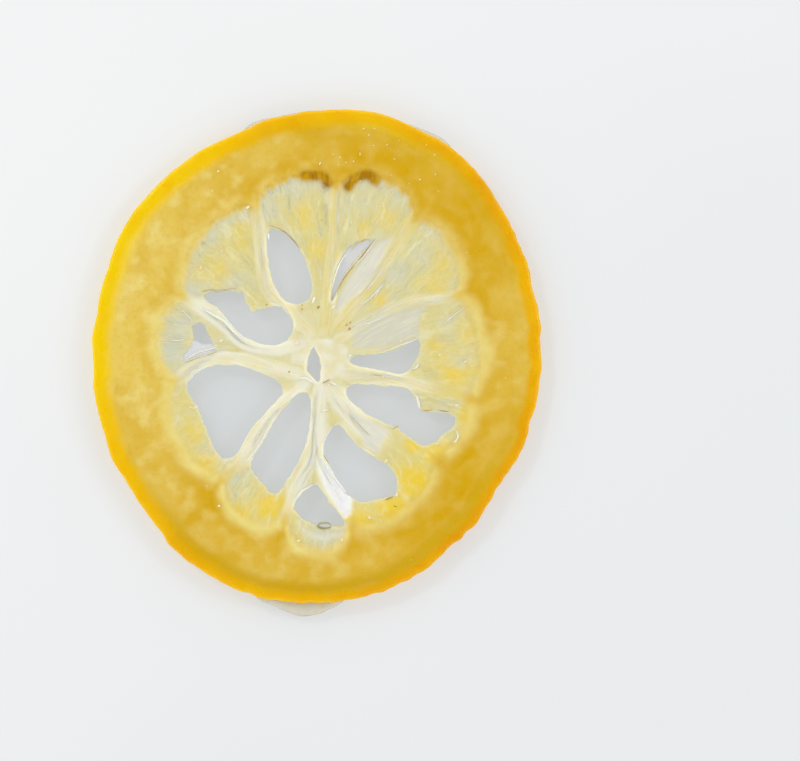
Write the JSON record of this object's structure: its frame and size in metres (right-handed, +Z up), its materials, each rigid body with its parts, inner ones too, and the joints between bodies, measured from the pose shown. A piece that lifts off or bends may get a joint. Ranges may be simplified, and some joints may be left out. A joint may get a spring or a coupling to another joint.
{
  "type": "lemon slice",
  "caption": "Thin oval round of lemon lying flat, with a broad pith, sunken flesh, open gaps between the segment walls and a smooth rind edge.",
  "frame": {"origin": "middle of the bounding box at the underside", "axes": "+Z up out of the shown cut face, +Y along the long way of the oval, +X across it"},
  "size_m": [0.058, 0.064, 0.0027],
  "materials": {
    "lemon_flesh": "moist, light passing through"
  },
  "bodies": {
    "root": {"lemon_slice": "lemon_flesh"}
  },
  "joints": []
}
